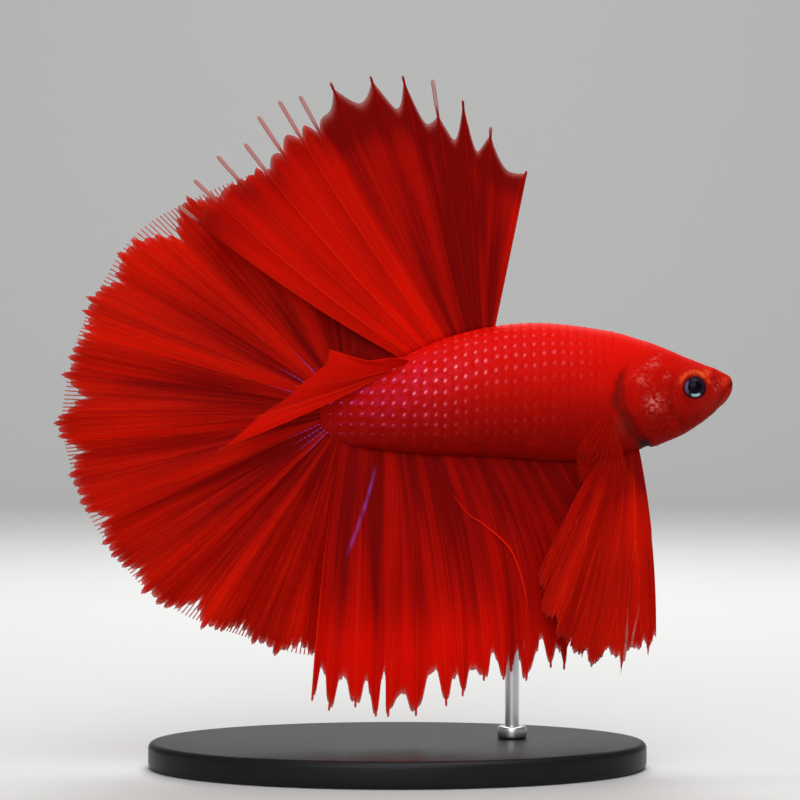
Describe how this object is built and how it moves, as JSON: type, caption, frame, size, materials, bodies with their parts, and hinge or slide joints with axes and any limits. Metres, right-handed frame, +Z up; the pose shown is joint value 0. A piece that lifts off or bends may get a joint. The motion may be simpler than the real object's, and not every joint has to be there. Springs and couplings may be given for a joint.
{
  "type": "betta fish",
  "caption": "Male halfmoon betta in life size, swimming level with its fins spread, held by a rod on a plain oval base.",
  "frame": {"origin": "centre of the stand's underside, on the surface it stands on", "axes": "+X the way the fish faces, +Z up, -Y the fish's right side"},
  "size_m": [0.0762, 0.036, 0.0788],
  "materials": {
    "red_skin": "satin, wet-looking scaled skin",
    "jaw_red": "satin skin of the jaw",
    "cover_red": "satin skin of the gill cover",
    "eye_black": "polished dark eye",
    "fin_red": "thin satin fin membrane on rays",
    "clear_fin_red": "thin, partly clear fin membrane",
    "base_black": "satin black",
    "rod_steel": "satin steel"
  },
  "bodies": {
    "root": {"head": "red_skin", "lower_jaw": "jaw_red", "gill_cover_left": "cover_red", "gill_cover_right": "cover_red", "eye_left": "eye_black", "eye_right": "eye_black", "trunk": "red_skin", "tail_stalk": "red_skin", "dorsal_fin": "fin_red", "dorsal_fin_lobe": "fin_red", "caudal_fin": "fin_red", "anal_fin": "fin_red", "ventral_fin_left": "fin_red", "ventral_fin_right": "fin_red", "pectoral_fin_left": "clear_fin_red", "pectoral_fin_right": "clear_fin_red", "stand_base": "base_black", "stand_rod": "rod_steel"}
  },
  "joints": []
}
